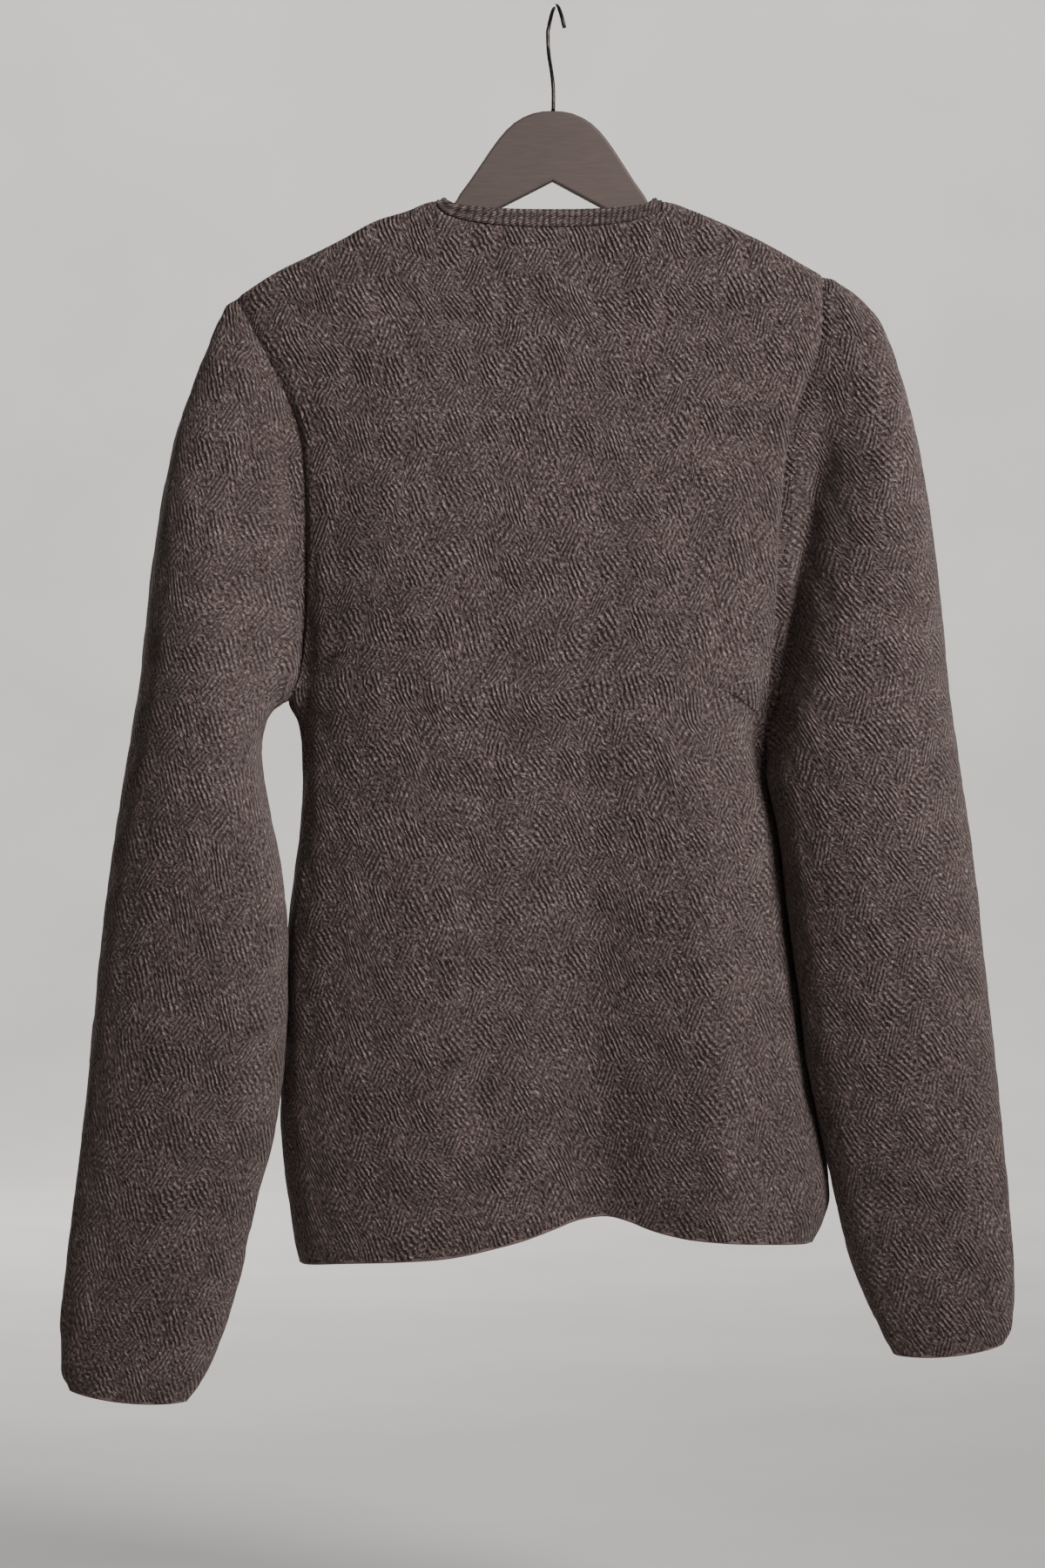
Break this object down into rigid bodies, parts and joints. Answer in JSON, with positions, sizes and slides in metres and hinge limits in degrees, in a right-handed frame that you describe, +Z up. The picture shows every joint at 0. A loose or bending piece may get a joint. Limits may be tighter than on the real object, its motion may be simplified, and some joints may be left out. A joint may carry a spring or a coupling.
{
  "type": "cardigan on a hanger",
  "caption": "Long-sleeved round-neck knitted cardigan hanging on a flat arched wooden hanger with a thin wire hook, seen from behind; plain hem and cuffs.",
  "frame": {"origin": "the top of the hook's inside, where it hangs on a rail", "axes": "+Z up; the fronts face -Y and the back +Y; the wearer's left side is at +X"},
  "size_m": [0.5997, 0.1185, 0.8807],
  "materials": {
    "knit": "marled taupe-brown wool knit, matt",
    "knit_edge": "the same wool in fine seed stitch",
    "button": "dark horn-coloured, satin",
    "hanger": "matt taupe paint",
    "wire": "dark bronze, satin"
  },
  "bodies": {
    "root": {"back": "knit", "button_1": "button", "button_2": "button", "button_3": "button", "button_4": "button", "button_5": "button", "button_6": "button", "button_band": "knit_edge", "buttonhole_band": "knit_edge", "front_left": "knit", "front_right": "knit", "hanger_body": "hanger", "hanger_hook": "wire", "neckband": "knit_edge", "sleeve_left": "knit", "sleeve_right": "knit"}
  },
  "joints": []
}
